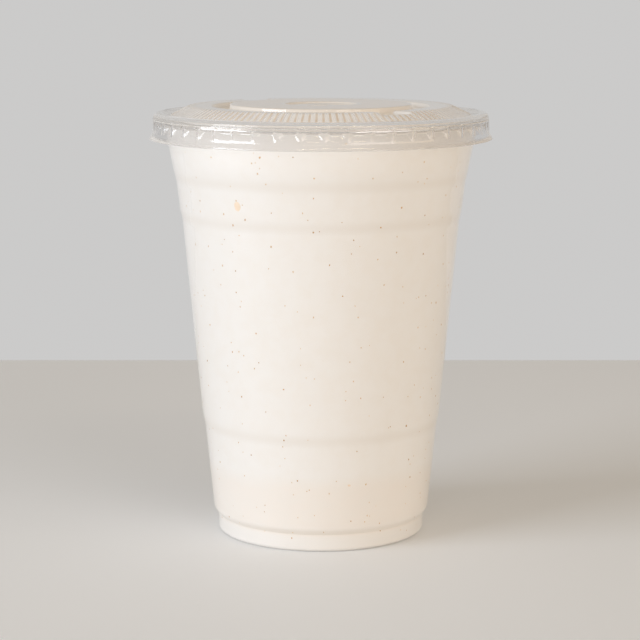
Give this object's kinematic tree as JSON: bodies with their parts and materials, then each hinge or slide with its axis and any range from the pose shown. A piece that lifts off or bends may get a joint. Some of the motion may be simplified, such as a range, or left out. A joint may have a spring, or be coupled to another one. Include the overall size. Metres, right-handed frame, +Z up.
{
  "type": "milkshake",
  "caption": "Pale milkshake filling a clear tapered plastic cup up to its clear flat press-on lid.",
  "frame": {"origin": "middle of the cup's foot, on the surface that it stands on", "axes": "+Z up along the cup's axis, from the foot to the lid; -Y is the front"},
  "size_m": [0.102, 0.102, 0.1288],
  "materials": {
    "clear_cup": "clear gloss plastic",
    "clear_lid": "clear gloss plastic",
    "milkshake": "creamy, finely speckled"
  },
  "bodies": {
    "root": {"cup": "clear_cup", "lid": "clear_lid", "milkshake": "milkshake"}
  },
  "joints": []
}
